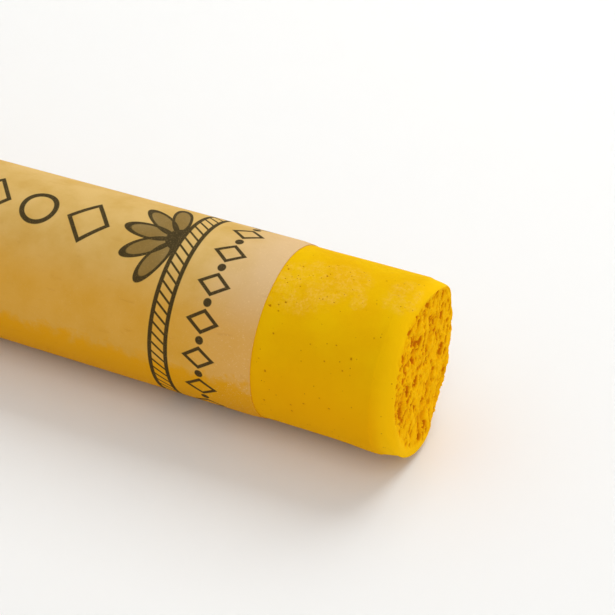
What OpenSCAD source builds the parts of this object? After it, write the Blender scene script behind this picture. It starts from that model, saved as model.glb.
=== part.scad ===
// Round soft pastel stick in its paper wrapper, standing on its flat end.
// The axis is Z, and the broken end is on top.

/* [Stick] */
// Diameter of the pressed pastel
stick_d = 11; // [8:0.5:16]
// Length from the flat end to the highest reach of the broken end
stick_len = 65; // [50:1:90]
// Chamfer round the flat end
foot_chamfer = 0.4; // [0.2:0.1:1]

/* [Broken end] */
// Radius that handling has worn on the broken rim
rim_wear = 0.6; // [0.5:0.1:1.4]
// How much higher the high side of the break stands than the low side
break_lean = 0.8; // [0:0.1:1]
// Compass heading of the high side
break_heading = 20; // [0:5:355]
// Height of the swells across the break
swell_h = 0.14; // [0:0.02:0.3]
// Length of the longest swell
swell_len = 6; // [4:0.5:9]
// How many crumbs have left a pit
pit_count = 70; // [5:5:120]
// Width of the widest pit
pit_d = 1.1; // [0.5:0.1:1.4]
// Which random break this stick has
break_seed = 12; // [1:1:50]

/* [Wrapper] */
// Thickness of the paper
paper_t = 0.1; // [0.06:0.02:0.2]
// Bare pastel above the wrapper, up to the crest of the break
bare_top = 9.4; // [5:0.1:14]
// Bare pastel below the wrapper
bare_foot = 9; // [5:0.5:14]
// Slack between the paper and the pastel
wrap_slack = 0.02; // [0.01:0.01:0.06]
// Width of the glued lap
lap_w = 6; // [3:0.5:10]
// Run in which the paper climbs onto its own inner edge
lap_climb = 0.8; // [0.6:0.1:1.6]
// Compass heading of the paper's inner edge
lap_heading = 70; // [0:5:355]

/* [Hidden] */
$fn = 96;

stick_r = stick_d / 2;

// The worn end is one skin of rings, from its middle over the rim and down its wall.
ring_pitch = 0.22;
// The worn end is this much slimmer all round than the moulded barrel.
worn_step = 0.03;
// Worn wall that shows below the rim, and what is rooted in the barrel.
worn_wall = 0.7;
root_len = 0.5;
worn_r = stick_r - worn_step;
flat_r = worn_r - rim_wear;
face_z = stick_len - break_lean / 2;
barrel_top = face_z - rim_wear - worn_wall;
rim_arc = rim_wear * PI / 2;
wall_len = worn_wall + root_len;
skin_len = flat_r + rim_arc + wall_len;
rings = ceil(skin_len / ring_pitch);

// Swells run in a few headings, each shorter than the one before.
swells = 5;
swell_headings = rands(0, 180, swells, break_seed);
swell_phases = rands(0, 360, swells, break_seed + 1);
swell_shrink = 0.72;

// Pits are shallow bowls, and small ones are the most common.
pit_depth_share = 0.45;
pit_smallest_share = 0.3;
pit_places = rands(0, 1, pit_count, break_seed + 2);
pit_headings = rands(0, 360, pit_count, break_seed + 3);
pit_sizes = rands(0, 1, pit_count, break_seed + 4);

// The paper is one sheet rolled once round, with its outer edge glued over its inner edge.
wrap_r = stick_r + wrap_slack;
wrap_len = stick_len - bare_top - bare_foot;
// The climb starts a little under its own layer and ends a hair above the next,
// so that both of its ends cross the round layers.
climb_steps = 8;
climb_start = -0.15;
climb_end = 1.02;
climb_turn = arc_turn(lap_climb, wrap_r);
lap_turn = arc_turn(lap_w, wrap_r + paper_t);

function polar(r, heading) = [r * cos(heading), r * sin(heading)];
function arc_turn(run, r) = run / r * 180 / PI;
function climb_height(share) =
    let (ease = (1 - cos(180 * share)) / 2)
    paper_t * (climb_start + (climb_end - climb_start) * ease);

// Turn of the skin's normal at s along it: 0 on the face, 90 on the wall.
function skin_turn(s) = min(max((s - flat_r) / rim_wear * 180 / PI, 0), 90);

// A place s along the worn end's skin, before any lump or pit.
function skin_at(s, heading) =
    let (turn = skin_turn(s))
    let (down = rim_wear * (1 - cos(turn)) + max(s - flat_r - rim_arc, 0))
    let (out = polar(min(s, flat_r) + rim_wear * sin(turn), heading))
    [out.x, out.y, face_z - down];

function swell_at(p, i) =
    let (along = p * polar(1, swell_headings[i]))
    pow(swell_shrink, i) * sin(360 * along / (swell_len * pow(swell_shrink, i)) + swell_phases[i]);
function swell(p) =
    let (shares = [for (i = [0 : swells - 1]) pow(swell_shrink, i)])
    let (sum_of = function(list, i = 0) i < len(list) ? list[i] + sum_of(list, i + 1) : 0)
    swell_h * sum_of([for (i = [0 : swells - 1]) swell_at([p.x, p.y], i)]) / sum_of(shares);

// Pits as [place, radius], even over the face and rim.
pits = [
    for (i = [0 : pit_count - 1])
        let (size = pit_smallest_share + (1 - pit_smallest_share) * pow(pit_sizes[i], 3))
        let (s = sqrt(pit_places[i]) * (flat_r + rim_arc * 0.8))
        [skin_at(s, pit_headings[i]), size * pit_d / 2]
];
function bowl(p, pit) =
    let (off = norm(p - pit[0]) / pit[1])
    off < 1 ? pit[1] * 2 * pit_depth_share * (1 - off * off) : 0;
function pitted(p) = max([for (pit = pits) bowl(p, pit)]);

// What has worn off at a place: hollows between swells and pits, dying out
// down the wall so that the root is round.
function worn_off(s, p) =
    let (fade = min(max((skin_len - root_len - s) / worn_wall, 0), 1))
    fade * (swell_h - swell(p) + pitted(p));

// A finished point of the worn end, with the break's lean stretching it.
function worn_point(s, heading) =
    let (p = skin_at(s, heading))
    let (turn = skin_turn(s))
    let (q = p - worn_off(s, p) * [sin(turn) * cos(heading), sin(turn) * sin(heading), cos(turn)])
    let (lean = break_lean / 2 * ([q.x, q.y] * polar(1, break_heading)) / worn_r)
    let (lift = max(q.z - barrel_top, 0) / (face_z - barrel_top))
    [q.x, q.y, q.z + lean * lift];

// Ring k has 6k points, so that the skin's triangles are all about one size.
function ring_start(k) = k == 0 ? 0 : 1 + 3 * k * (k - 1);
function ring_point(k, i) = k == 0 ? 0 : ring_start(k) + i % (6 * k);

module worn_end() {
    points = [
        for (k = [0 : rings])
            for (i = [0 : max(6 * k, 1) - 1])
                worn_point(skin_len * k / rings, k == 0 ? 0 : 60 * i / k)
    ];
    outward = [
        for (k = [0 : rings - 1], sixth = [0 : 5], i = [0 : k])
            [ring_point(k, sixth * k + i),
             ring_point(k + 1, sixth * (k + 1) + i + 1),
             ring_point(k + 1, sixth * (k + 1) + i)]
    ];
    inward = [
        for (k = [1 : rings - 1], sixth = [0 : 5], i = [0 : k - 1])
            [ring_point(k, sixth * k + i),
             ring_point(k, sixth * k + i + 1),
             ring_point(k + 1, sixth * (k + 1) + i + 1)]
    ];
    root = [[for (i = [0 : 6 * rings - 1]) ring_point(rings, i)]];
    polyhedron(points = points, faces = concat(outward, inward, root), convexity = 4);
}

module barrel() {
    rotate_extrude()
        polygon([
            [0, 0],
            [stick_r - foot_chamfer, 0],
            [stick_r, foot_chamfer],
            [stick_r, barrel_top],
            [0, barrel_top]
        ]);
}

module pastel_stick() {
    color("#F2BC0C") {
        barrel();
        worn_end();
    }
}

// A round slice of pie, with its tip on the axis.
module pie(r, from, turn) {
    intersection() {
        circle(r = r);
        polygon([[0, 0], polar(2 * r, from), polar(2 * r, from + turn / 2), polar(2 * r, from + turn)]);
    }
}

// What lies under a face of the sheet that climbs by one thickness from the
// given distance, and may then run on under another point.
module under_climb(r, run_on = []) {
    polygon(concat(
        [[0, 0]],
        [
            for (i = [0 : climb_steps])
                let (share = i / climb_steps)
                polar(r + climb_height(share), lap_heading - climb_turn * (1 - share))
        ],
        run_on
    ));
}

// Section of the rolled sheet: its outline, less what it is rolled on and the
// small open tent where it climbs over its own inner edge.
module rolled_sheet() {
    outer_r = wrap_r + paper_t;
    lap_r = outer_r + paper_t;
    difference() {
        union() {
            circle(r = outer_r);
            pie(lap_r, lap_heading, lap_turn);
            under_climb(outer_r, [polar(outer_r, lap_heading + lap_turn / 8)]);
        }
        circle(r = wrap_r);
        under_climb(wrap_r);
    }
}

module paper_wrapper() {
    color("#E2BE86")
        translate([0, 0, bare_foot])
            linear_extrude(height = wrap_len)
                rolled_sheet();
}

pastel_stick();
paper_wrapper();
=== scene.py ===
import math
import random

import bpy
import numpy as np
from mathutils import Matrix, Vector, noise
from mathutils.bvhtree import BVHTree


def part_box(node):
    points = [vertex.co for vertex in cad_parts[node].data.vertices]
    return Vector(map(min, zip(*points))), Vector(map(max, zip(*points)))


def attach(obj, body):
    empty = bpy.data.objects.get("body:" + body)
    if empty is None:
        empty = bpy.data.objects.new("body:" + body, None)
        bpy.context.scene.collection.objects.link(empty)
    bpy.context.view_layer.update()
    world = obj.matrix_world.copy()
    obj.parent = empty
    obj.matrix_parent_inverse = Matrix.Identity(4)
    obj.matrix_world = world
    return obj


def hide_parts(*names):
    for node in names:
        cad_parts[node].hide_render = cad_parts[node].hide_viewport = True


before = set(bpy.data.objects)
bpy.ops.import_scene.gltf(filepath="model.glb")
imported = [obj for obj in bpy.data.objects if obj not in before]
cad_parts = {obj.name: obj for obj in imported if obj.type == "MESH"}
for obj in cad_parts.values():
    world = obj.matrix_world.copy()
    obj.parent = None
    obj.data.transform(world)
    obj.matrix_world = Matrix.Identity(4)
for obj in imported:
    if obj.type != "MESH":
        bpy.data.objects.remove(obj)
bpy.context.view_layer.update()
mm = 0.001
hair = 0.001 * mm                  # tells one row or ring of points from the next

_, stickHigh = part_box("pastel_stick")
paperLow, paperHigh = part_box("paper_wrapper")
stickRadius = stickHigh.x
layerRadius = -paperLow.x          # outside of one layer of paper
paperEdge = paperHigh.z            # where the paper ends and the bare pastel begins
tableHeading = math.radians(38)    # side of the stick that lies on the table
print("frame: stick", round(stickHigh.z / mm, 2), "mm long, paper up to", round(paperEdge / mm, 2))


# Modelling helpers

def startEditing(piece):
    # opens one piece for editing, with nothing on it selected
    if bpy.context.object and bpy.context.object.mode != "OBJECT":
        bpy.ops.object.mode_set(mode="OBJECT")
    selectPiece(piece)
    bpy.ops.object.mode_set(mode="EDIT")
    bpy.ops.mesh.select_mode(type="VERT")
    bpy.ops.mesh.select_all(action="DESELECT")


def stopEditing():
    bpy.ops.object.mode_set(mode="OBJECT")
    bpy.ops.object.select_all(action="DESELECT")


def selectPiece(piece):
    bpy.ops.object.select_all(action="DESELECT")
    bpy.context.view_layer.objects.active = piece
    piece.select_set(True)


def freshPrimitive(name, adder, **size):
    bpy.ops.object.select_all(action="DESELECT")
    adder(**size)
    piece = bpy.context.object
    piece.name = piece.data.name = name
    return piece


def pointsOf(piece):
    flat = np.empty(len(piece.data.vertices) * 3)
    piece.data.vertices.foreach_get("co", flat)
    return flat.reshape(-1, 3)


def setPoints(piece, points):
    piece.data.vertices.foreach_set("co", np.ascontiguousarray(points).ravel())
    piece.data.update()


def normalsOf(piece):
    flat = np.empty(len(piece.data.vertices) * 3)
    piece.data.vertex_normals.foreach_get("vector", flat)
    return flat.reshape(-1, 3)


def edgesOf(piece):
    ends = np.empty(len(piece.data.edges) * 2, dtype=np.int32)
    piece.data.edges.foreach_get("vertices", ends)
    return ends.reshape(-1, 2)


def selectEdges(piece, chosen):
    # in edit mode: selects these edges and nothing else
    bpy.ops.mesh.select_mode(type="EDGE")
    bpy.ops.object.mode_set(mode="OBJECT")
    mesh = piece.data
    held = np.zeros(len(mesh.vertices), dtype=bool)
    held[edgesOf(piece)[chosen].ravel()] = True
    mesh.vertices.foreach_set("select", held)
    mesh.edges.foreach_set("select", chosen)
    mesh.polygons.foreach_set("select", np.zeros(len(mesh.polygons), dtype=bool))
    bpy.ops.object.mode_set(mode="EDIT")


def selectPoints(piece, chosen):
    # in edit mode: selects these vertices with the edges between them
    bpy.ops.object.mode_set(mode="OBJECT")
    mesh = piece.data
    mesh.vertices.foreach_set("select", chosen)
    mesh.edges.foreach_set("select", chosen[edgesOf(piece)].all(axis=1))
    mesh.polygons.foreach_set("select", np.zeros(len(mesh.polygons), dtype=bool))
    bpy.ops.object.mode_set(mode="EDIT")


def keepValue(piece, name, values):
    made = piece.data.attributes.new(name, "FLOAT", "POINT")
    made.data.foreach_set("value", values.astype(np.float32))


def rise(low, high, values):
    # 0 at low and 1 at high, with soft ends
    share = np.clip((values - low) / (high - low), 0, 1)
    return share * share * (3 - 2 * share)


def unevenness(points, size, octaves, seed):
    # fractal noise of about -1 to 1, with lumps of the given size
    shift = Vector((seed * 7.31, seed * 3.17, seed * 5.53))
    return np.array([noise.fractal(Vector(p) / size + shift, 1.0, 2.0, octaves) for p in points])


def direction(heading):
    return Vector((math.cos(heading), math.sin(heading), 0))


# Material helpers

class Wire:
    # a shader socket that takes part in Python maths
    def __init__(self, finish, socket):
        self.finish = finish
        self.socket = socket

    def maths(self, operation, *others):
        inputs = dict(enumerate((self,) + others))
        return self.finish.wire("ShaderNodeMath", 0, {"operation": operation}, inputs)

    def __add__(self, other): return self.maths("ADD", other)
    def __radd__(self, other): return self.maths("ADD", other)
    def __sub__(self, other): return self.maths("SUBTRACT", other)
    def __rsub__(self, other): return self.maths("MULTIPLY", -1.0).maths("ADD", other)
    def __mul__(self, other): return self.maths("MULTIPLY", other)
    def __rmul__(self, other): return self.maths("MULTIPLY", other)
    def __truediv__(self, other): return self.maths("DIVIDE", other)
    def __pow__(self, other): return self.maths("POWER", other)
    def __abs__(self): return self.maths("ABSOLUTE")

    def wrapped(self, low, high): return self.maths("WRAP", high, low)
    def most(self, other): return self.maths("MAXIMUM", other)
    def root(self): return self.maths("SQRT")

    def ramp(self, start, end):
        # 0 at start and 1 at end, whichever of the two is higher
        return self.finish.wire(
            "ShaderNodeMapRange", 0, {"interpolation_type": "SMOOTHSTEP"},
            {"Value": self, "From Min": min(start, end), "From Max": max(start, end),
             "To Min": float(start > end), "To Max": float(start < end)})


class Finish:
    # a node material with one Principled shader
    def __init__(self, name, **constants):
        self.material = bpy.data.materials.new(name)
        self.material.use_nodes = True
        self.tree = self.material.node_tree
        self.tree.nodes.clear()
        self.output = self.node("ShaderNodeOutputMaterial")
        inputs = {key.replace("_", " "): value for key, value in constants.items()}
        self.shader = self.node("ShaderNodeBsdfPrincipled", None, inputs)
        self.tree.links.new(self.shader.outputs[0], self.output.inputs["Surface"])

    def node(self, kind, settings=None, inputs=None):
        made = self.tree.nodes.new(kind)
        for key, value in (settings or {}).items():
            setattr(made, key, value)
        for key, value in (inputs or {}).items():
            if isinstance(value, Wire):
                self.tree.links.new(value.socket, made.inputs[key])
            else:
                made.inputs[key].default_value = value
        return made

    def wire(self, kind, output=0, settings=None, inputs=None):
        return Wire(self, self.node(kind, settings, inputs).outputs[output])

    def objectPoint(self):
        return self.wire("ShaderNodeTexCoord", "Object")

    def attribute(self, name):
        return self.wire("ShaderNodeAttribute", "Fac", {"attribute_name": name})

    def split(self, vector):
        made = self.node("ShaderNodeSeparateXYZ", None, {0: vector})
        return [Wire(self, made.outputs[i]) for i in range(3)]

    def joined(self, x, y, z=0.0):
        return self.wire("ShaderNodeCombineXYZ", 0, None, {0: x, 1: y, 2: z})

    def noise(self, vector, size, detail=3.0, rough=0.55, warp=0.0):
        # 0 to 1, with lumps of the given size
        return self.wire("ShaderNodeTexNoise", 0, None, {
            "Vector": vector, "Scale": 1 / size, "Detail": detail, "Roughness": rough, "Distortion": warp})

    def cells(self, vector, size, output="Distance"):
        return self.wire("ShaderNodeTexVoronoi", output, None, {"Vector": vector, "Scale": 1 / size})

    def blend(self, share, under, over, kind="MIX"):
        return self.wire("ShaderNodeMix", 2, {"data_type": "RGBA", "blend_type": kind},
                         {0: share, 6: under, 7: over})

    def bump(self, height, distance, strength=1.0):
        return self.wire("ShaderNodeBump", 0, None, {
            "Height": height, "Distance": distance, "Strength": strength})

    def feed(self, **sockets):
        for name, value in sockets.items():
            self.tree.links.new(value.socket, self.shader.inputs[name.replace("_", " ")])


def tone(red, green, blue):
    # a screen colour of 0 to 255 as the shader's linear values
    linear = [c / 12.92 if c <= 0.04045 else ((c + 0.055) / 1.055) ** 2.4
              for c in (red / 255, green / 255, blue / 255)]
    return (*linear, 1.0)


# The pastel: a pressed round stick, broken and worn at the top, moulded flat at the foot

pastel = {
    "seed": 31,
    "fanCuts": (10, 9),            # two subdivisions give the break 110 rings
    "capDrop": 0.3 * mm,           # from the top of the box down to the even skin laid on the solid
    "faceRadius": 4.87 * mm,
    "rimRadius": 0.6 * mm,
    "fanEnd": 63.3 * mm,           # height where the broken cap meets the straight side
    "rayReach": 0.9 * mm,          # how far outside the even skin the search for the solid starts
    "rayLength": 2.5,              # how far it runs, in reaches
    "rimClosed": (0.78, 0.99),     # shares of the face's radius over which pits close towards the rim
    "rimFilter": (25, 41),         # points round a ring that closing and then smoothing look at
    "smoothing": 16,               # rounds of smoothing before the relief
    # forms that the solid lacks; each starts with its compass heading in degrees
    "rimTighter": (8, 0.44 * mm, 0.28 * mm),           # tighter there and opposite, wider between
    "leanMore": (250, 0.1 * mm, 0.3 * mm),             # rise in the middle, and more at the rim
    "lip": (28, 0.2 * mm),                             # how far up the rim is raised
    "bulge": (350, 63.1 * mm, 1.7 * mm, 0.12 * mm),    # height, reach and how far out
    "smoothRim": (340, 0.35 * mm),                     # how much wider the worn band is
    "growIn": 0.9 * mm,            # above fanEnd, over which rim, lean, lip and the worn rim's painted highlight grow in
    # straight side and foot
    "rowPitch": 0.12 * mm,         # down the bare side
    "tuckedUnder": 0.4 * mm,       # how far these rows run in under the paper
    "footPitch": 0.6 * mm,         # up the bare foot
    "footChamfer": 0.4 * mm,
    "footRings": (0.8, 0.62, 0.44, 0.28, 0.14, 0.05),
    # where the break gives way to the worn rim
    "breakStart": 0.4 * mm,        # above fanEnd, over which the break's relief grows in
    "wornBand": (0.62 * mm, 0.3 * mm),         # distances in from the side over which it fades
    "bandWander": (0.6 * mm, 0.12 * mm),       # size and reach of the fade's unevenness
    # relief of the break
    "stretch": 2.3,                # its grain runs along x
    "lumps": ((1.3 * mm, 0.05 * mm), (0.5 * mm, 0.045 * mm), (0.2 * mm, 0.035 * mm)),    # size, height
    "lumpTop": 0.3,                # lumps are cut off at this share of their height
    "crumbs": ((0.62 * mm, 0.07 * mm), (0.34 * mm, 0.045 * mm)),     # size, depth of the creases between
    "creaseWidth": 0.4,            # share of a crumb
    "creaseWander": 0.1 * mm,
    "hollows": 12,                 # wide and shallow, spread evenly over the break
    "hollowReach": 4.3 * mm,       # how far from the middle they may lie
    "firstHollow": 147,            # heading of the first one
    "hollowWidth": (0.7 * mm, 1.5 * mm),
    "hollowDepth": 0.19,           # share of its width
    "nearSide": (265, 75),         # where pits crowd: heading of the middle, and spread to each side
    "pits": 30,                    # the largest ones
    "pitPlace": (0.05, 0.95),      # shares of the face's area between which they lie
    "pitWidth": (0.23 * mm, 0.38 * mm),
    "strayPits": 420,              # all over the face and a little past it
    "strayPast": 0.1 * mm,
    "strayWidth": (0.12 * mm, 0.32 * mm),
    "strayBias": 2.2,              # above 1 it makes most of them small
    "rimPits": 110,                # small ones, crowded along the near rim
    "rimPitReach": 1.1 * mm,       # how far in from the rim they lie
    "rimPitBias": 1.5,             # above 1 it draws them to the rim
    "rimPitWidth": (0.09 * mm, 0.17 * mm),
    "pitDepth": 0.6,               # share of a pit's width
    "ragged": 0.5,                 # how far a pit's outline wanders, as a share of its radius
    "raggedSize": 0.22 * mm,
    # marks, waves and grain of the bare side
    "nearMarks": 26,               # small knocks, most of them close to the paper
    "nearMarksAt": (272, 58),      # heading of the middle, and how far to each side
    "nearMarksReach": (0.3 * mm, 6.3 * mm),    # nearest to the paper, and how far on they run
    "nearMarkBias": 1.4,           # above 1 it draws them to the paper
    "nearMarkWidth": (0.1 * mm, 0.18 * mm),
    "strayMarks": 60,
    "strayMarkClear": (0.6 * mm, 1.5 * mm),    # how far they stay off the foot and the broken end
    "markWidth": (0.09 * mm, 0.16 * mm),
    "markDepth": 0.35,             # share of a mark's width
    "sideWave": (4.0 * mm, 0.008 * mm),        # size and height
    "sideGrain": (0.4 * mm, 0.004 * mm),
    "underPaper": 0.2 * mm,        # how far the side's relief runs in under the paper
    "calmByPaper": 1.2 * mm,       # distances over which it grows in
    "calmByFoot": 0.3 * mm,
    # depths at which the painted shade of a pit, hollow, crease or mark is full; a hollow gets only a share
    "pitTint": 0.16 * mm,
    "hollowShadeDepth": (0.35, 0.28 * mm),
    "creaseShadeDepth": 0.22 * mm,
    "markShadeDepth": 0.04 * mm,
}


def circledFan(points):
    # the six-sided fan as rings: how far out each vertex lies, 0 to 1, and its heading
    farthest = points[np.argmax(np.hypot(points[:, 0], points[:, 1]))]
    corner = math.atan2(farthest[1], farthest[0])
    sixth = math.pi / 3
    heading = (np.arctan2(points[:, 1], points[:, 0]) - corner) % (2 * math.pi)
    middle = (np.floor(heading / sixth + 1e-6) + 0.5) * sixth
    out = np.hypot(points[:, 0], points[:, 1])
    outward, along = out * np.cos(heading - middle), out * np.sin(heading - middle)
    slant = along / np.maximum(outward, 1e-9) / math.tan(sixth / 2)
    return outward / outward.max(), corner + middle + slant * sixth / 2


def wornCap(share, heading):
    # even skin over the break, the worn rim and the top of the side, with its normals
    faceRadius, rimRadius = pastel["faceRadius"], pastel["rimRadius"]
    top = stickHigh.z - pastel["capDrop"]
    arc = rimRadius * math.pi / 2
    run = share * (faceRadius + arc + top - rimRadius - pastel["fanEnd"])
    turn = np.clip((run - faceRadius) / rimRadius, 0, math.pi / 2)
    out = np.minimum(run, faceRadius) + rimRadius * np.sin(turn)
    drop = rimRadius * (1 - np.cos(turn)) + np.maximum(run - faceRadius - arc, 0)
    ways = np.stack([np.cos(heading), np.sin(heading)], axis=1)
    points = np.column_stack([out[:, None] * ways, top - drop])
    return points, np.column_stack([np.sin(turn)[:, None] * ways, np.cos(turn)])


def droppedOnSolid(points, normals):
    # each point goes straight in onto the solid, so that the skin keeps its swells and lean
    solid = BVHTree.FromObject(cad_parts["pastel_stick"], bpy.context.evaluated_depsgraph_get())
    reach = pastel["rayReach"]
    landed = points.copy()
    for i, (point, normal) in enumerate(zip(points, normals)):
        hit = solid.ray_cast(Vector(point + normal * reach), Vector(-normal), reach * pastel["rayLength"])[0]
        if hit:
            landed[i] = hit
    return landed


def steadyRim(landed, even, normals, share, heading):
    # closes the solid's pits where they cut the rim, which is worn smooth
    reach = ((landed - even) * normals).sum(axis=1)
    count = (pastel["fanCuts"][0] + 1) * (pastel["fanCuts"][1] + 1)
    ring = np.round(share * count).astype(int)
    closed = rise(*pastel["rimClosed"], np.hypot(even[:, 0], even[:, 1]) / pastel["faceRadius"])
    closing, smoothing = pastel["rimFilter"]
    bell = np.exp(-np.linspace(-2, 2, smoothing) ** 2)

    def passed(values, width, by):
        around = np.concatenate([values[-(width // 2):], values, values[:width // 2]])
        return by(np.lib.stride_tricks.sliding_window_view(around, width))

    for k in range(1, count + 1):
        members = np.flatnonzero(ring == k)
        if closed[members].max() > 0.01:
            members = members[np.argsort(heading[members] % (2 * math.pi))]
            filled = passed(reach[members], closing, lambda w: w.max(axis=1))
            filled = passed(filled, closing, lambda w: w.min(axis=1))
            filled = passed(filled, smoothing, lambda w: w @ bell / bell.sum())
            reach[members] += (filled - reach[members]) * closed[members]
    return even + normals * reach[:, None]


def crispRim(points, normals, heading):
    # a tighter rim, a raised lip and a little more lean than the solid has, inside its box
    out = np.hypot(points[:, 0], points[:, 1])
    sharpest, tighter, wider = pastel["rimTighter"]
    keep = (tighter + wider) * np.cos(heading - math.radians(sharpest)) ** 4 - wider
    sine, cosine = np.hypot(normals[:, 0], normals[:, 1]), normals[:, 2]
    above = rise(0, pastel["growIn"], points[:, 2] - pastel["fanEnd"])
    lipHeading, lipUp = pastel["lip"]
    lip = np.clip(np.cos(heading - math.radians(lipHeading)), 0, 1) ** 4
    lip *= np.minimum(out / stickRadius, 1) ** 3
    moved = keep * np.minimum(out / pastel["faceRadius"], 1) * (1 - sine)
    points[:, :2] *= (1 + moved / np.maximum(out, 1e-9))[:, None]
    toward, middle, most = pastel["leanMore"]
    lean = middle + most * (points[:, :2] @ np.array(direction(math.radians(toward)).xy)) / stickRadius
    points[:, 2] += (keep * (1 - cosine) + lean + lipUp * lip) * above
    return points


def hollowDepths(points, places, widths, depths, wander):
    # how deep a set of ragged hollows lies at each point
    deepest = np.zeros(len(points))
    for place, width, depth in zip(places, widths, depths):
        near = np.abs(points - place).max(axis=1) < width
        off = np.linalg.norm(points[near] - place, axis=1) / (width / 2)
        off = off * (1 + pastel["ragged"] * wander[near])
        deepest[near] = np.maximum(deepest[near], depth * np.clip(1 - off * off, 0, 1) ** 0.7)
    return deepest


def crumbledBreak(points, wander):
    # depth of the broad hollows and of the pits over the broken face
    source = random.Random(pastel["seed"])
    upper = points[points[:, 2] > pastel["fanEnd"]]
    grain = np.array([1 / pastel["stretch"], 1, 1])
    points = points * grain

    def onFace(out, turn):
        x, y = out * math.cos(turn), out * math.sin(turn)
        return upper[np.argmin((upper[:, 0] - x) ** 2 + (upper[:, 1] - y) ** 2)] * grain

    # each hollow lies a golden angle on from the last, so that none crowd
    count, golden = pastel["hollows"], math.pi * (3 - math.sqrt(5))
    hollows, spans = [], []
    for i in range(count):
        out = pastel["hollowReach"] * math.sqrt((i + 0.5) / count)
        hollows.append(onFace(out, math.radians(pastel["firstHollow"]) + i * golden))
        spans.append(source.uniform(*pastel["hollowWidth"]))
    broad = hollowDepths(points, hollows, spans, [w * pastel["hollowDepth"] for w in spans], wander)

    nearSide, spread = (math.radians(angle) for angle in pastel["nearSide"])
    low, high = pastel["strayWidth"]
    places, widths = [], []
    for _ in range(pastel["pits"]):
        turn = source.gauss(nearSide, spread)
        out = pastel["faceRadius"] * math.sqrt(source.uniform(*pastel["pitPlace"]))
        places.append(onFace(out, turn))
        widths.append(source.uniform(*pastel["pitWidth"]))
    for _ in range(pastel["strayPits"]):
        out = (pastel["faceRadius"] + pastel["strayPast"]) * math.sqrt(source.random())
        places.append(onFace(out, source.random() * 2 * math.pi))
        widths.append(low + (high - low) * source.random() ** pastel["strayBias"])
    for _ in range(pastel["rimPits"]):
        turn = nearSide + source.uniform(-1, 1) * spread
        out = pastel["faceRadius"] - pastel["rimPitReach"] * source.random() ** pastel["rimPitBias"]
        places.append(onFace(out, turn))
        widths.append(source.uniform(*pastel["rimPitWidth"]))
    return broad, hollowDepths(points, places, widths, [w * pastel["pitDepth"] for w in widths], wander)


def creaseDepths(points):
    # creases between crumbs that are packed together
    deepest = np.zeros(len(points))
    for size, depth in pastel["crumbs"]:
        for i, (x, y, z) in enumerate(points):
            nearest = noise.voronoi(Vector((x / pastel["stretch"], y, z)) / size)[0]
            between = min((nearest[1] - nearest[0]) / pastel["creaseWidth"], 1)
            deepest[i] += depth * (1 - between) ** 1.5
    return deepest


def sideMarkDepths(points, wander):
    # depth of the marks on the straight side, round the bare top and the bare foot
    source = random.Random(pastel["seed"] + 1)
    middle, spread = pastel["nearMarksAt"]
    nearest, reach = pastel["nearMarksReach"]
    marks = []
    for _ in range(pastel["nearMarks"]):
        marks.append((math.radians(middle + spread * source.uniform(-1, 1)),
                      paperEdge + nearest + reach * source.random() ** pastel["nearMarkBias"],
                      source.uniform(*pastel["nearMarkWidth"])))
    low, high = pastel["markWidth"]
    offFoot, offEnd = pastel["strayMarkClear"]
    for i in range(pastel["strayMarks"]):
        base, top = (paperEdge, stickHigh.z - offEnd) if i % 2 else (offFoot, paperLow.z)
        marks.append((source.random() * 2 * math.pi, base + (top - base) * source.random(),
                      low + (high - low) * source.random()))
    places = [(*(direction(h) * stickRadius).xy, z) for h, z, width in marks]
    widths = [width for h, z, width in marks]
    return hollowDepths(points, places, widths, [w * pastel["markDepth"] for w in widths], wander)


def drawDown(stick, level):
    # extrudes the lowest ring of edges down to a level
    heights = pointsOf(stick)[:, 2]
    startEditing(stick)
    selectPoints(stick, heights < heights.min() + hair)
    bpy.ops.mesh.extrude_edges_move(TRANSFORM_OT_translate={"value": (0, 0, level - heights.min())})
    stopEditing()


def cutRows(stick, pitch):
    # cuts the strip that was drawn down last into rows
    heights = pointsOf(stick)[:, 2]
    ends = heights[edgesOf(stick)]
    lengths = np.abs(ends[:, 0] - ends[:, 1])
    upright = (lengths > pitch) & (ends.min(axis=1) < heights.min() + hair)
    startEditing(stick)
    selectEdges(stick, upright)
    bpy.ops.mesh.subdivide(number_cuts=round(lengths[upright].max() / pitch) - 1)
    stopEditing()


def drawIn(stick, radius, level):
    # extrudes the innermost ring of the foot to a smaller ring
    points = pointsOf(stick)
    low = points[:, 2].min()
    out = np.hypot(points[:, 0], points[:, 1])
    bottom = points[:, 2] < low + hair
    reached = out[bottom].min()
    startEditing(stick)
    selectPoints(stick, bottom & (out < reached + hair))
    bpy.ops.mesh.extrude_edges_move(TRANSFORM_OT_translate={"value": (0, 0, level - low)})
    bpy.ops.transform.resize(value=(radius / reached, radius / reached, 1), center_override=(0, 0, level))
    stopEditing()


def layCap():
    # the break starts as a six-sided fan, which keeps its triangles even from rim to middle
    stick = freshPrimitive("pastelBody", bpy.ops.mesh.primitive_circle_add,
                           vertices=6, radius=stickRadius, fill_type="TRIFAN")
    startEditing(stick)
    bpy.ops.mesh.select_all(action="SELECT")
    for cuts in pastel["fanCuts"]:
        bpy.ops.mesh.subdivide(number_cuts=cuts)
    stopEditing()
    share, heading = circledFan(pointsOf(stick))
    even, normals = wornCap(share, heading)
    landed = steadyRim(droppedOnSolid(even, normals), even, normals, share, heading)
    setPoints(stick, crispRim(landed, normals, heading))
    rim = share > 1 - 1e-4
    startEditing(stick)
    selectPoints(stick, ~rim)
    bpy.ops.mesh.vertices_smooth(factor=0.5, repeat=pastel["smoothing"])
    stopEditing()
    points = pointsOf(stick)
    points[rim, 0] = np.cos(heading[rim]) * stickRadius
    points[rim, 1] = np.sin(heading[rim]) * stickRadius
    points[rim, 2] = pastel["fanEnd"]
    setPoints(stick, points)
    print("pastel: broken cap of", len(points), "points laid on the solid,", rim.sum(), "round the rim")
    return stick


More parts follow.
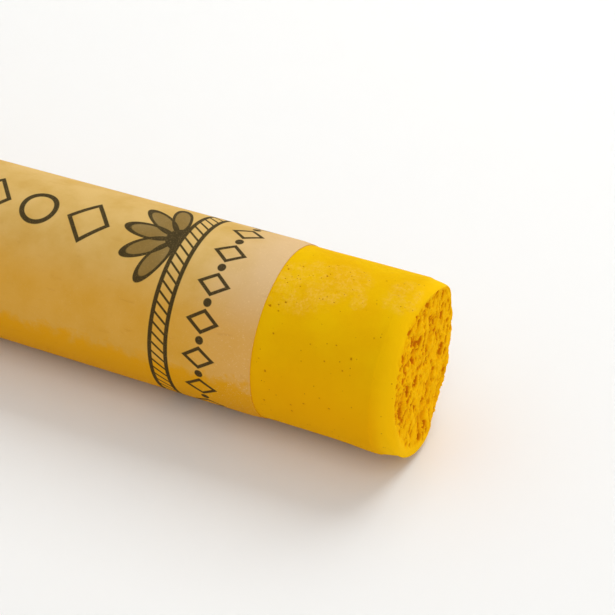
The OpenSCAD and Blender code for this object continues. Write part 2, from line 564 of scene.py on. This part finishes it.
def drawSideAndFoot(stick):
    # the straight side, cut into rows where it is bare, and the chamfered foot
    drawDown(stick, paperEdge - pastel["tuckedUnder"])
    cutRows(stick, pastel["rowPitch"])
    drawDown(stick, paperLow.z + pastel["tuckedUnder"])
    drawDown(stick, pastel["footChamfer"])
    cutRows(stick, pastel["footPitch"])
    drawIn(stick, stickRadius - pastel["footChamfer"], 0)
    for ring in pastel["footRings"]:
        drawIn(stick, ring * stickRadius, 0)
    points = pointsOf(stick)
    startEditing(stick)
    middle = np.hypot(points[:, 0], points[:, 1]) < (pastel["footRings"][-1] + 0.01) * stickRadius
    selectPoints(stick, middle & (points[:, 2] < hair))
    bpy.ops.mesh.merge(type="CENTER")
    bpy.ops.mesh.select_all(action="SELECT")
    bpy.ops.mesh.remove_doubles(threshold=hair / 2)
    bpy.ops.mesh.normals_make_consistent(inside=False)
    stopEditing()


def brokenShare(points, heading):
    # 1 on the crumbled break, fading to 0 over the worn rim
    size, reach = pastel["bandWander"]
    outer, inner = pastel["wornBand"]
    widest, wider = pastel["smoothRim"]
    out = np.hypot(points[:, 0], points[:, 1]) + reach * unevenness(points, size, 2, 4)
    out += wider * np.clip(np.cos(heading - math.radians(widest)), 0, 1) ** 2
    broken = rise(pastel["fanEnd"], pastel["fanEnd"] + pastel["breakStart"], points[:, 2])
    return broken * (1 - rise(stickRadius - outer, stickRadius - inner, out))


def bulgeHeights(points, normals, heading):
    toward, level, reach, height = pastel["bulge"]
    bulge = height * np.clip(np.cos(heading - math.radians(toward)), 0, 1) ** 5 * (1 - normals[:, 2] ** 2)
    return bulge * np.exp(-((points[:, 2] - level) / reach) ** 2)


def roughen(stick):
    # crumbly relief, deepest on the break, and the attributes that the finish reads
    points, normals = pointsOf(stick), normalsOf(stick)
    heading = np.arctan2(points[:, 1], points[:, 0])
    height = points[:, 2]
    broken = brokenShare(points, heading)
    cap = broken > 0
    under = pastel["underPaper"]
    shown = (height > paperEdge - under) | (height < paperLow.z + under)
    wander, lumps, creases, waves = (np.zeros(len(points)) for _ in range(4))
    wander[shown] = unevenness(points[shown], pastel["raggedSize"], 2, 9)
    for seed, (size, tall) in enumerate(pastel["lumps"]):
        lumps[cap] += tall * np.clip(unevenness(points[cap], size, 2, seed + 1), -1, pastel["lumpTop"])
    creases[cap] = creaseDepths(points[cap] + pastel["creaseWander"] * wander[cap, None])
    for seed, (size, tall) in enumerate((pastel["sideWave"], pastel["sideGrain"])):
        waves[shown] += tall * (unevenness(points[shown], size, 2, seed + 20) - 1)
    broad, pits = crumbledBreak(points, wander)
    marks = sideMarkDepths(points, wander)
    side = (1 - broken) * shown * rise(0, pastel["calmByFoot"], height)
    clear = rise(0, pastel["calmByPaper"], np.maximum(height - paperEdge, paperLow.z - height))
    depth = broken * (broad + pits + creases - lumps) + side * (marks - waves * clear)
    depth -= bulgeHeights(points, normals, heading)
    setPoints(stick, points - normals * depth[:, None])

    # painted shade: pits, hollows, creases and side marks are painted darker and more orange the deeper they
    # are
    most, full = pastel["hollowShadeDepth"]
    recessShade = np.clip(pits / pastel["pitTint"], 0, 1) + most * broad / full + creases / pastel["creaseShadeDepth"]
    keepValue(stick, "pitted", np.clip(broken * recessShade, 0, 1))
    keepValue(stick, "markShadeShare", np.clip(side * marks / pastel["markShadeDepth"], 0, 1))
    keepValue(stick, "broken", broken)
    keepValue(stick, "worn", (1 - broken) * rise(0, pastel["growIn"], height - pastel["fanEnd"]))


def makePastel():
    stick = layCap()
    drawSideAndFoot(stick)
    roughen(stick)
    stick.data.shade_smooth()
    print("pastel: finished with", len(stick.data.vertices), "points,", len(stick.data.polygons), "faces")
    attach(stick, "root")
    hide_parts("pastel_stick")
    return stick


# The wrapper: one printed sheet, rolled once round the stick and glued down over its own edge

wrapper = {
    "columns": 372,
    "rows": 60,
    "thickness": 0.098 * mm,
    "layer": 0.1 * mm,             # spacing from one layer to the next
    "innerEdge": math.radians(70),
    "lap": 6 * mm,
    "climb": 0.8 * mm,             # arc over which the sheet steps up onto its first layer
    # shares of the sheet's height count from its middle, so that 0.5 is a cut end
    "edgeWander": (0.03 * mm, 3 * mm, 0.46),   # of the cut ends: reach, size, and share where it starts
    "hug": 0.04 * mm,              # how far the cut ends close on the stick
    "hugFrom": 0.485,              # share where they start to
    "hugTurn": 6,                  # radians from the inner edge, past which they don't
    "pressed": 0.5,                # share of the thickness left where they hug
}
sheetRadius = layerRadius - wrapper["layer"] / 2
sheetTurn = 2 * math.pi + wrapper["lap"] / (layerRadius + wrapper["layer"] / 2)
sheetWidth = sheetTurn * sheetRadius
sheetHeight = paperHigh.z - paperLow.z


def makeWrapper():
    sheet = freshPrimitive("paperSheet", bpy.ops.mesh.primitive_grid_add, size=1,
                           x_subdivisions=wrapper["columns"], y_subdivisions=wrapper["rows"], calc_uvs=True)
    flat = pointsOf(sheet)
    turn = (flat[:, 0] + 0.5) * sheetTurn
    steppedUp = rise(2 * math.pi - wrapper["climb"] / layerRadius, 2 * math.pi, turn)
    hugging = rise(wrapper["hugFrom"], 0.5, np.abs(flat[:, 1])) * (turn < wrapper["hugTurn"])
    radius = sheetRadius + wrapper["layer"] * steppedUp - wrapper["hug"] * hugging
    heading = wrapper["innerEdge"] + turn
    height = paperLow.z + (flat[:, 1] + 0.5) * sheetHeight
    rolled = np.column_stack([radius * np.cos(heading), radius * np.sin(heading), height])
    # the cut ends wander a little, only ever inwards
    reach, size, start = wrapper["edgeWander"]
    end = np.sign(flat[:, 1])
    cut = unevenness(np.column_stack([rolled[:, :2], end * mm]), size, 2, 5) - 1
    rolled[:, 2] += end * reach * cut * rise(start, 0.5, np.abs(flat[:, 1]))
    setPoints(sheet, rolled)
    full = sheet.vertex_groups.new(name="fullThickness")
    for i, share in enumerate(1 - hugging):
        full.add([i], share, "REPLACE")
    thick = sheet.modifiers.new("paperThickness", "SOLIDIFY")
    thick.vertex_group = full.name
    thick.thickness_vertex_group = wrapper["pressed"]
    thick.thickness = wrapper["thickness"]
    thick.offset = 0
    selectPiece(sheet)
    bpy.ops.object.modifier_apply(modifier=thick.name)
    startEditing(sheet)
    bpy.ops.mesh.select_all(action="SELECT")
    bpy.ops.mesh.normals_make_consistent(inside=False)
    stopEditing()
    selectPiece(sheet)
    bpy.ops.object.shade_smooth_by_angle(angle=math.radians(40))
    print("wrapper: sheet", round(sheetWidth / mm, 2), "by", round(sheetHeight / mm, 2), "mm,",
          len(sheet.data.polygons), "faces")
    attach(sheet, "root")
    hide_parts("paper_wrapper")
    return sheet


# Finishes

pastelLook = {
    "yellow": tone(238, 192, 2),
    "deep": tone(234, 182, 1),
    # lower: painted shade and bounce light, darker and more orange, for the side towards the table
    "lower": tone(231, 164, 1),
    "crumb": tone(248, 188, 3),
    "pale": tone(247, 197, 12),
    # pit: painted shade for pits, hollows and creases
    "pit": tone(206, 108, 2),
    # mark: painted shade for the knocks on the side
    "markShade": tone(176, 92, 4),
    "speck": tone(166, 88, 2),
    # worn: painted highlight for the rounded rim, partly its wear
    "worn": tone(252, 202, 8),
    "dust": tone(246, 200, 84),
    "orange": tone(226, 150, 4),
    "cloudSize": 2.6 * mm,
    "grainSize": 0.09 * mm,
    "crumbSize": 0.14 * mm,
    "patchSize": 0.9 * mm,
    "fleckSize": 0.16 * mm,
    "filmSize": 0.55 * mm,
    "speckSize": 0.2 * mm,
    "gatherSize": 1.8 * mm,
    "powderSize": 0.05 * mm,
    "reliefDepth": 0.012 * mm,
    # roughened patches: heading in degrees, distance past the paper, half sizes round and along in mm
    "rubbed": ((236, 1.9, 2.6, 3.0), (226, 3.6, 2.0, 2.4), (224, 7.6, 1.9, 1.4), (238, 5.3, 0.8, 0.7)),
}


def pastelFinish():
    look = pastelLook
    finish = Finish("pastelPowder", Roughness=1.0, IOR=1.35, Specular_IOR_Level=0.08, Diffuse_Roughness=0.5)
    point = finish.objectPoint()
    x, y, z = finish.split(point)
    clouds = finish.noise(point, look["cloudSize"], 4)
    grain = finish.noise(point, look["grainSize"], 2)
    crumb = finish.noise(point, look["crumbSize"], 4, 0.7)
    body = finish.blend(clouds.ramp(0.35, 0.7), look["deep"], look["yellow"])
    body = finish.blend(grain.ramp(0.5, 0.85) * 0.35, body, look["pale"])
    broken = finish.attribute("broken")
    facing = (x * math.cos(tableHeading) + y * math.sin(tableHeading)) / stickRadius
    # painted shade: the side towards the table is painted darker and more orange, standing in for shade and
    # the warm light bounced from the table
    body = finish.blend(facing.ramp(-0.9, 0.3) * (1.0 - broken) * 0.8, body, look["lower"])
    body = finish.blend(broken * 0.8, body, look["crumb"])
    # the worn rim is painted lighter: partly wear, partly a painted highlight where the rounded rim catches
    # the light
    body = finish.blend(finish.attribute("worn") * 0.62, body, look["worn"])

    # roughened patches, where dust and darker grains show between smooth places
    patches = None
    for heading, past, across, along in look["rubbed"]:
        middle = direction(math.radians(heading)) * stickRadius
        sideways = ((x - middle.x) ** 2.0 + (y - middle.y) ** 2.0) / (across * mm) ** 2
        lengthways = ((z - (paperEdge + past * mm)) / (along * mm)) ** 2.0
        patch = (sideways + lengthways).ramp(1.3, 0.0)
        patches = patches.most(patch) if patches else patch
    rubbed = (patches + (finish.noise(point, look["patchSize"], 4, 0.6) - 0.5) * 1.3).ramp(0.3, 0.85)
    fleck = finish.noise(point, look["fleckSize"], 3, 0.7)
    film = finish.noise(point, look["filmSize"], 5, 0.6)
    body = finish.blend(rubbed * crumb.ramp(0.55, 0.7) * 0.45, body, look["orange"])
    dusty = rubbed * film.ramp(0.3, 0.7) * (fleck.ramp(0.42, 0.66) * 0.5 + 0.12)
    body = finish.blend(dusty, body, look["dust"])

    # painted shade in pits, hollows and creases, deeper ones darker
    pitted = finish.attribute("pitted")
    body = finish.blend(pitted.ramp(0.2, 1.0) * 0.85, body, look["pit"])
    # painted shade in the knocks on the side, darker the deeper they are
    body = finish.blend(finish.attribute("markShadeShare").ramp(0.2, 0.9) * 0.75, body, look["markShade"])
    # fine dark specks, gathered in a few places
    spot = finish.cells(point, look["speckSize"])
    chance = finish.split(finish.cells(point, look["speckSize"], "Color"))[0]
    gathered = finish.noise(point, look["gatherSize"], 2).ramp(0.45, 0.62)
    speck = spot.ramp(0.27, 0.12) * (chance + gathered * 0.08 + patches * 0.12).ramp(0.94, 1.0)
    body = finish.blend(speck * 0.7, body, look["speck"])
    powder = finish.noise(point, look["powderSize"], 3, 0.65)
    relief = powder + crumb * (broken * 2.0 + rubbed * 2.5) - speck * 1.5
    normal = finish.bump(relief, look["reliefDepth"], 0.7)
    finish.feed(Base_Color=body, Normal=normal)
    return finish.material


paperLook = {
    "cream": tone(214, 178, 108),
    "warm": tone(203, 163, 86),
    # stain: partly real pastel dust, partly painted light bounced from the table
    "dustAndBounceTone": tone(220, 154, 2),
    "speckle": tone(238, 206, 150),
    "rosy": tone(216, 182, 134),
    "fibre": tone(196, 156, 96),
    "ink": tone(50, 42, 22),
    "inkHeading": 230,             # degrees; the middle of the print
    "cloudSize": 2.2 * mm,
    "grainSize": 0.13 * mm,
    "mottleSize": 1.3 * mm,
    "inkHoleSize": 0.07 * mm,
    "fibreSize": 0.4,              # on the flat sheet, in mm
    "fibreSquash": 0.3,            # above 0 and under 1 it draws them out down the sheet
    "reliefDepth": 0.01 * mm,
}

# a plain ornament in mm: heights are down from the paper's top edge, strokes are half widths
ornament = {
    "lines": (5.75, 6.85, 0.14),               # two lines round the stick: their heights and stroke
    "rungs": (6.3, 0.5, 0.64, 0.7, 0.085),     # between them: height, half length, pitch, slant, stroke
    "beads": (15, 3.5),                        # ring of lozenges and dots: number of each, and height
    "bead": (0.78, 1.12, 0.84, 0.17),          # lozenge: half width, half height, share drawn, stroke
    "dot": 0.27,
    "fanRoot": 7.0,
    "fanLeans": (-66, -33, 0, 33, 66),         # degrees
    "petal": (2.1, 0.66, 1.8),                 # its middle past the root, half width and half length
    "heart": 0.9,
    "row": (0.5, 11.0, 36.8, 7.2),             # along the stick: shift round, first and last height, pitch
    "lozenge": (13.2, 1.7, 1.55, 0.88, 0.12),  # height, half width, half height, share drawn, stroke
    "ring": (16.8, 1.12, 0.17),                # height, radius and stroke
    "softEnd": 0.1,
}


def printMask(around, down):
    # how much ink lies at a point: around from the middle of the print, down from the top edge
    def stroke(distance, half, soft=0.03):
        return distance.ramp(half + soft, half - soft)

    def oval(u, v, a, b):
        return ((u / a) ** 2.0 + (v / b) ** 2.0).root()

    def lozenge(u, v, a, b):
        return abs(u) / a + abs(v) / b

    # two lines round the stick with slanted strokes between them
    upper, lower, half = ornament["lines"]
    lines = stroke(abs(down - upper), half).most(stroke(abs(down - lower), half))
    height, reach, pitch, slant, half = ornament["rungs"]
    rungs = stroke(abs((around + down * slant).wrapped(-pitch / 2, pitch / 2)), half)
    ink = lines.most(rungs * stroke(abs(down - height), reach))
    # a ring of open lozenges and dots
    count, height = ornament["beads"]
    wide, tall, drawn, half = ornament["bead"]
    pitch = 2 * math.pi * sheetRadius / mm / count
    step = around.wrapped(-pitch / 2, pitch / 2)
    between = (around + pitch / 2).wrapped(-pitch / 2, pitch / 2)
    ink = ink.most(stroke(abs(lozenge(step, down - height, wide, tall) - drawn), half, 0.04))
    ink = ink.most(stroke(oval(between, down - height, 1.0, 1.0), ornament["dot"]))
    # a fan of petals against the lines
    root, soft = ornament["fanRoot"], ornament["softEnd"]
    middle, wide, tall = ornament["petal"]
    past = down - root
    for lean in ornament["fanLeans"]:
        sine, cosine = math.sin(math.radians(lean)), math.cos(math.radians(lean))
        petal = oval(around * cosine - past * sine, around * sine + past * cosine - middle, wide, tall)
        ink = ink.most(petal.ramp(1.0, 0.95) * (petal.ramp(0.66, 0.74) * 0.35 + 0.65))
    ink = ink.most(stroke(oval(around, past, 1.0, 1.0), ornament["heart"]) * down.ramp(root - soft, root))
    # a row of large lozenges and rings along the stick
    shift, first, last, pitch = ornament["row"]
    row = around - shift
    here = down.ramp(first, first + soft) * down.ramp(last, last - soft)
    height, wide, tall, drawn, half = ornament["lozenge"]
    big = lozenge(row, (down - height).wrapped(-pitch / 2, pitch / 2), wide, tall)
    height, radius, thick = ornament["ring"]
    ring = oval(row, (down - height).wrapped(-pitch / 2, pitch / 2), 1.0, 1.0)
    large = stroke(abs(big - drawn), half, 0.025).most(stroke(abs(ring - radius), thick))
    return ink.most(large * here)


def paperFinish():
    look = paperLook
    finish = Finish("wrapperPaper", Roughness=0.85, IOR=1.4, Specular_IOR_Level=0.12)
    point = finish.objectPoint()
    x, y, _ = finish.split(point)
    across, up, _ = finish.split(finish.wire("ShaderNodeUVMap", 0, {"uv_map": "UVMap"}))
    start = (math.radians(look["inkHeading"]) - wrapper["innerEdge"]) * sheetRadius / mm
    around = across * (sheetWidth / mm) - start
    down = (1.0 - up) * (sheetHeight / mm)
    fibres = finish.noise(finish.joined(around, down * look["fibreSquash"]), look["fibreSize"], 4, 0.65, 0.6)
    clouds = finish.noise(point, look["cloudSize"], 4)
    grain = finish.noise(point, look["grainSize"], 4, 0.7)
    body = finish.blend(clouds.ramp(0.3, 0.75), look["cream"], look["warm"])
    body = finish.blend((down + clouds * 3.0).ramp(7.0, 2.0), body, look["rosy"])
    # pastel dust and painted bounce light: a tint that deepens towards the table, painted in for the yellow
    # light bounced from it, then a mottled stain that is partly real dust and partly the same painted light
    facing = (x * math.cos(tableHeading) + y * math.sin(tableHeading)) / layerRadius
    mottle = finish.noise(point, look["mottleSize"], 5, 0.65)
    bounceAndDustTint = facing.ramp(-1.02, -0.4) * 0.62
    dustAndBounceStain = (facing + (mottle - 0.5) * 0.7).ramp(-0.25, 0.22) * 0.98
    body = finish.blend(bounceAndDustTint.most(dustAndBounceStain), body, look["dustAndBounceTone"])
    body = finish.blend(fibres.ramp(0.56, 0.8) * 0.16, body, look["fibre"], "MULTIPLY")
    # grains of the paper catch pale dust near its edge
    nearEdge = (down + mottle * 3.0).ramp(6.5, 2.5) * 0.4 + 0.1
    body = finish.blend(grain.ramp(0.56, 0.72) * nearEdge, body, look["speckle"])
    ink = printMask(around, down)
    holes = finish.noise(point, look["inkHoleSize"], 2).ramp(0.3, 0.46)
    body = finish.blend(ink * (holes * 0.16 + 0.8), body, look["ink"])
    normal = finish.bump(fibres * 0.6 + grain, look["reliefDepth"], 0.6)
    finish.feed(Base_Color=body, Normal=normal)
    return finish.material


# Stage, lights and camera

studio = {
    "wall": 0.6,                   # metres across
    "clearance": 0.02 * mm,        # between the stick and what it lies on or stands on
    "wallTone": (0.86, 0.86, 0.85, 1.0),
    "worldLevel": 0.42,
    # lamps: direction from the stick, distance, width and power
    "keyLamp": ((-0.963, 0.013, 0.095), 0.45, 0.3, 1.18),
    "topLamp": ((0.1, -0.24, 0.96), 0.5, 0.3, 0.85),
    "frontLamp": ((-0.35, -0.9, 0.25), 0.6, 0.4, 0.5),
}


def makeStage():
    # the surface that the stick lies on, and a floor under its foot
    size = studio["wall"]
    wall = freshPrimitive("tableTop", bpy.ops.mesh.primitive_plane_add, size=size)
    out = direction(tableHeading)
    side = Vector((-out.y, out.x, 0))
    touch = out * (layerRadius + studio["clearance"])
    setPoints(wall, np.array([touch + side * p[0] + Vector((0, 0, p[1] + size / 2)) for p in pointsOf(wall)]))
    if wall.data.polygons[0].normal.dot(out) > 0:
        wall.data.flip_normals()
    floor = freshPrimitive("floor", bpy.ops.mesh.primitive_plane_add, size=size)
    setPoints(floor, pointsOf(floor) - np.array([0, 0, studio["clearance"]]))
    finish = Finish("paleStage", Roughness=0.9, Base_Color=studio["wallTone"])
    path = finish.node("ShaderNodeLightPath")
    geometry = finish.node("ShaderNodeNewGeometry")
    fromBehind = Wire(finish, path.outputs["Is Camera Ray"]) * Wire(finish, geometry.outputs["Backfacing"])
    clear = finish.wire("ShaderNodeBsdfTransparent")
    mixed = finish.wire("ShaderNodeMixShader", 0, None, {
        0: fromBehind, 1: Wire(finish, finish.shader.outputs[0]), 2: clear})
    finish.tree.links.new(mixed.socket, finish.output.inputs["Surface"])
    for surface in (wall, floor):
        surface.data.materials.append(finish.material)


def makeLights():
    aim = Vector((0, 0, paperEdge))
    for name in ("keyLamp", "topLamp", "frontLamp"):
        way, distance, width, power = studio[name]
        lamp = bpy.data.lights.new(name, "AREA")
        lamp.size = width
        lamp.energy = power
        holder = bpy.data.objects.new(name, lamp)
        way = Vector(way).normalized()
        holder.location = aim + way * distance
        holder.rotation_euler = (-way).to_track_quat("-Z", "Y").to_euler()
        bpy.context.scene.collection.objects.link(holder)
    world = bpy.data.worlds.new("softStudio")
    bpy.context.scene.world = world
    world.use_nodes = True
    tree = world.node_tree
    tree.nodes.clear()
    path = tree.nodes.new("ShaderNodeLightPath")
    seen = path.outputs["Is Camera Ray"]
    for kind in ("Is Glossy Ray", "Is Transmission Ray"):
        either = tree.nodes.new("ShaderNodeMath")
        either.operation = "MAXIMUM"
        tree.links.new(seen, either.inputs[0])
        tree.links.new(path.outputs[kind], either.inputs[1])
        seen = either.outputs[0]
    output = tree.nodes.new("ShaderNodeOutputWorld")
    level = tree.nodes.new("ShaderNodeMapRange")
    background = tree.nodes.new("ShaderNodeBackground")
    level.inputs["To Min"].default_value = studio["worldLevel"]
    level.inputs["To Max"].default_value = 1.0
    tree.links.new(seen, level.inputs["Value"])
    tree.links.new(level.outputs[0], background.inputs["Strength"])
    tree.links.new(background.outputs[0], output.inputs["Surface"])
    background.inputs["Color"].default_value = (1, 1, 1, 1)


cameraSet = {
    "roll": math.radians(15.74),   # how far the stick tips down to the right of the picture
    "lean": math.radians(21.06),   # how far the broken end turns towards the camera
    "lens": 107.456,
    "sensor": 36,
    "nearest": 0.01,
    "offset": (-0.979, 1.510, 113.15),   # mm right, down and away to the middle of the paper's edge
}


def makeCamera():
    roll, lean = cameraSet["roll"], cameraSet["lean"]
    across = Vector((0, math.sin(lean), math.cos(lean)))
    away = Vector((0, math.cos(lean), -math.sin(lean)))
    right = across * math.cos(roll) - Vector((math.sin(roll), 0, 0))
    down = across * math.sin(roll) + Vector((math.cos(roll), 0, 0))
    toRight, toDown, toAway = (value * mm for value in cameraSet["offset"])
    place = Vector((0, 0, paperEdge)) - right * toRight - down * toDown - away * toAway
    data = bpy.data.cameras.new("mainCamera")
    data.lens = cameraSet["lens"]
    data.sensor_width = cameraSet["sensor"]
    data.clip_start = cameraSet["nearest"]
    camera = bpy.data.objects.new("mainCamera", data)
    camera.matrix_world = Matrix.Translation(place) @ Matrix((right, -down, -away)).transposed().to_4x4()
    bpy.context.scene.collection.objects.link(camera)
    bpy.context.scene.camera = camera


stickPiece = makePastel()
stickPiece.data.materials.clear()
stickPiece.data.materials.append(pastelFinish())
sheetPiece = makeWrapper()
sheetPiece.data.materials.clear()
sheetPiece.data.materials.append(paperFinish())
makeStage()
makeLights()
makeCamera()
bpy.context.scene.view_settings.view_transform = "Standard"
print("stage, lights and camera set")
